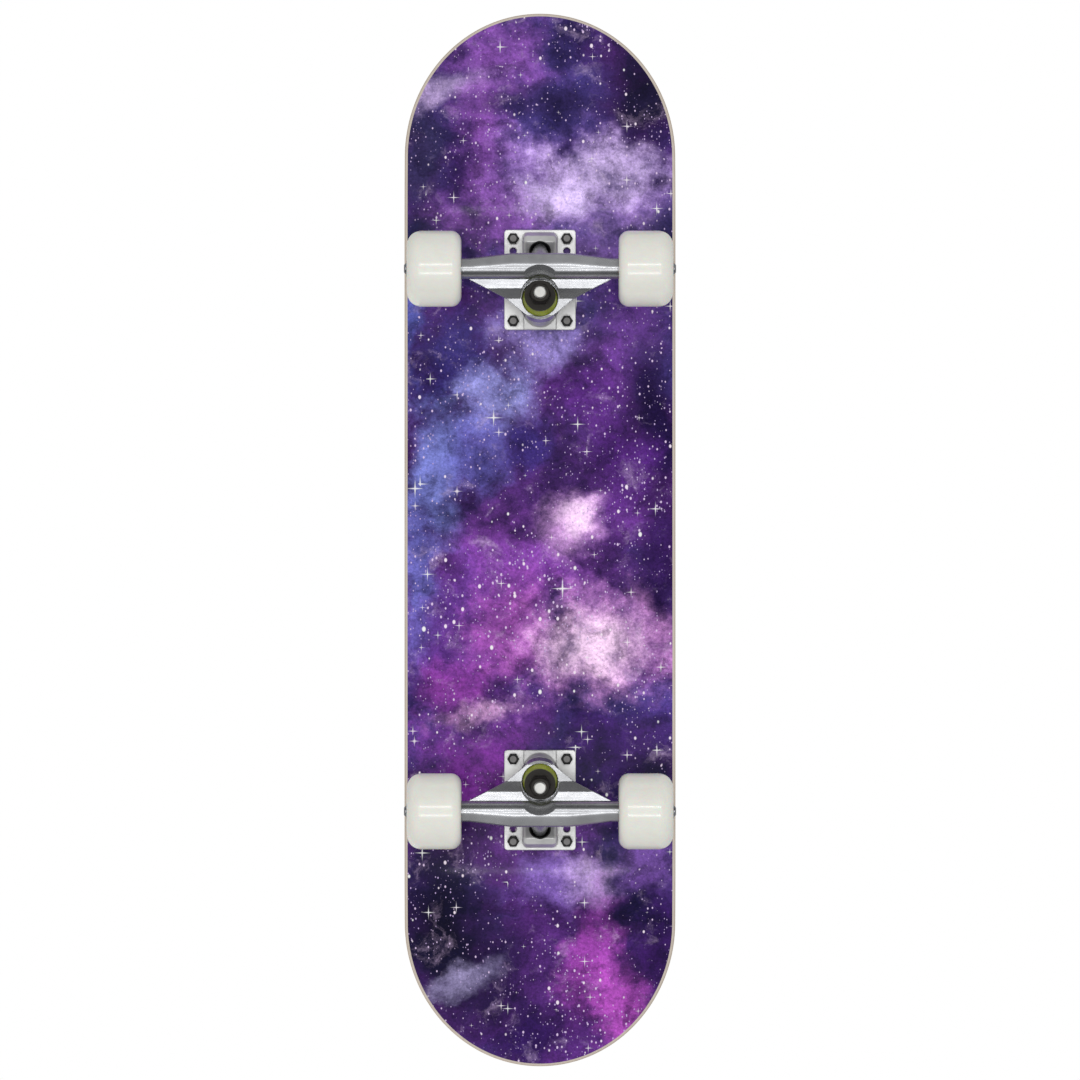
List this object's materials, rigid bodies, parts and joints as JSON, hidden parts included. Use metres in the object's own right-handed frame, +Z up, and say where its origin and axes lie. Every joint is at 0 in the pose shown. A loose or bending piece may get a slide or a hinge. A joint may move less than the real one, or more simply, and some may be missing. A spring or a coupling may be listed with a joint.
{
  "type": "skateboard",
  "caption": "Popsicle-shaped laminated skateboard with grip tape, printed underside, cast trucks on rubber bushings and wide off-white wheels on ball bearings.",
  "frame": {"origin": "on the ground under the middle of the board, with the wheels standing on it", "axes": "+X across the board to the right, +Y towards the nose, +Z up"},
  "size_m": [0.2096, 0.821, 0.1428],
  "materials": {
    "maple": "satin maple plies",
    "grip": "black abrasive grit sheet",
    "print": "glossy printed film, purple night-sky pattern",
    "cast_aluminium": "cast and lightly brushed",
    "polished_aluminium": "polished casting",
    "black_urethane": "matt black",
    "olive_urethane": "translucent olive",
    "white_urethane": "smooth off-white",
    "kingpin_steel": "zinc plated",
    "dark_steel": "black oxide",
    "black_steel": "black zinc",
    "bolt_steel": "dark zinc",
    "axle_steel": "bright steel",
    "bearing_steel": "ground steel",
    "cage_plastic": "nylon"
  },
  "bodies": {
    "board": {"deck": "maple", "grip_tape": "grip", "printed_film": "print", "front_baseplate": "cast_aluminium", "front_pivot_cup": "black_urethane", "front_kingpin": "kingpin_steel", "front_kingpin_nut": "dark_steel", "front_board_side_bushing": "olive_urethane", "front_road_side_bushing": "olive_urethane", "front_board_side_cup_washer": "dark_steel", "front_road_side_cup_washer": "dark_steel", "front_deck_bolts": "bolt_steel", "front_deck_nuts": "black_steel", "rear_baseplate": "cast_aluminium", "rear_pivot_cup": "black_urethane", "rear_kingpin": "kingpin_steel", "rear_kingpin_nut": "dark_steel", "rear_board_side_bushing": "olive_urethane", "rear_road_side_bushing": "olive_urethane", "rear_board_side_cup_washer": "dark_steel", "rear_road_side_cup_washer": "dark_steel", "rear_deck_bolts": "bolt_steel", "rear_deck_nuts": "black_steel"},
    "front_truck": {"front_hanger": "polished_aluminium", "front_axle": "axle_steel", "front_speed_washers": "axle_steel", "front_axle_nuts": "axle_steel", "front_left_bearing_inner_races": "bearing_steel", "front_left_bearing_spacer": "axle_steel", "front_right_bearing_inner_races": "bearing_steel", "front_right_bearing_spacer": "axle_steel"},
    "front_left_wheel": {"front_left_wheel_tyre": "white_urethane", "front_left_bearing_outer_races": "bearing_steel", "front_left_bearing_shields": "bearing_steel"},
    "front_left_ball_sets": {"front_left_bearing_balls": "bearing_steel", "front_left_bearing_cages": "cage_plastic"},
    "front_right_wheel": {"front_right_wheel_tyre": "white_urethane", "front_right_bearing_outer_races": "bearing_steel", "front_right_bearing_shields": "bearing_steel"},
    "front_right_ball_sets": {"front_right_bearing_balls": "bearing_steel", "front_right_bearing_cages": "cage_plastic"},
    "rear_truck": {"rear_hanger": "polished_aluminium", "rear_axle": "axle_steel", "rear_speed_washers": "axle_steel", "rear_axle_nuts": "axle_steel", "rear_left_bearing_inner_races": "bearing_steel", "rear_left_bearing_spacer": "axle_steel", "rear_right_bearing_inner_races": "bearing_steel", "rear_right_bearing_spacer": "axle_steel"},
    "rear_left_wheel": {"rear_left_wheel_tyre": "white_urethane", "rear_left_bearing_outer_races": "bearing_steel", "rear_left_bearing_shields": "bearing_steel"},
    "rear_left_ball_sets": {"rear_left_bearing_balls": "bearing_steel", "rear_left_bearing_cages": "cage_plastic"},
    "rear_right_wheel": {"rear_right_wheel_tyre": "white_urethane", "rear_right_bearing_outer_races": "bearing_steel", "rear_right_bearing_shields": "bearing_steel"},
    "rear_right_ball_sets": {"rear_right_bearing_balls": "bearing_steel", "rear_right_bearing_cages": "cage_plastic"}
  },
  "joints": [
    {"name": "front_steer", "type": "hinge", "parent": "board", "child": "front_truck", "pos_m": [0, 0.226, 0.0655], "axis": [0, -0.9007, -0.4345], "range_deg": [-12, 12], "stiffness_Nm_per_rad": 60, "deforming": ["front_board_side_bushing", "front_road_side_bushing", "front_pivot_cup"]},
    {"name": "front_left_wheel_spin", "type": "hinge", "parent": "front_truck", "child": "front_left_wheel", "pos_m": [-0.0808, 0.2072, 0.029], "axis": [1, 0, 0], "continuous": true},
    {"name": "front_left_ball_roll", "type": "hinge", "parent": "front_truck", "child": "front_left_ball_sets", "pos_m": [-0.0808, 0.2072, 0.029], "axis": [1, 0, 0], "continuous": true},
    {"name": "front_right_wheel_spin", "type": "hinge", "parent": "front_truck", "child": "front_right_wheel", "pos_m": [0.0808, 0.2072, 0.029], "axis": [1, 0, 0], "continuous": true},
    {"name": "front_right_ball_roll", "type": "hinge", "parent": "front_truck", "child": "front_right_ball_sets", "pos_m": [0.0808, 0.2072, 0.029], "axis": [1, 0, 0], "continuous": true},
    {"name": "rear_steer", "type": "hinge", "parent": "board", "child": "rear_truck", "pos_m": [0, -0.226, 0.0655], "axis": [0, 0.9007, -0.4345], "range_deg": [-12, 12], "stiffness_Nm_per_rad": 60, "deforming": ["rear_board_side_bushing", "rear_road_side_bushing", "rear_pivot_cup"]},
    {"name": "rear_left_wheel_spin", "type": "hinge", "parent": "rear_truck", "child": "rear_left_wheel", "pos_m": [-0.0808, -0.2072, 0.029], "axis": [1, 0, 0], "continuous": true},
    {"name": "rear_left_ball_roll", "type": "hinge", "parent": "rear_truck", "child": "rear_left_ball_sets", "pos_m": [-0.0808, -0.2072, 0.029], "axis": [1, 0, 0], "continuous": true},
    {"name": "rear_right_wheel_spin", "type": "hinge", "parent": "rear_truck", "child": "rear_right_wheel", "pos_m": [0.0808, -0.2072, 0.029], "axis": [1, 0, 0], "continuous": true},
    {"name": "rear_right_ball_roll", "type": "hinge", "parent": "rear_truck", "child": "rear_right_ball_sets", "pos_m": [0.0808, -0.2072, 0.029], "axis": [1, 0, 0], "continuous": true}
  ],
  "couplings": [
    {"joint": "front_left_ball_roll", "follows": "front_left_wheel_spin", "ratio": 0.628},
    {"joint": "front_right_ball_roll", "follows": "front_right_wheel_spin", "ratio": 0.628},
    {"joint": "rear_left_ball_roll", "follows": "rear_left_wheel_spin", "ratio": 0.628},
    {"joint": "rear_right_ball_roll", "follows": "rear_right_wheel_spin", "ratio": 0.628}
  ]
}
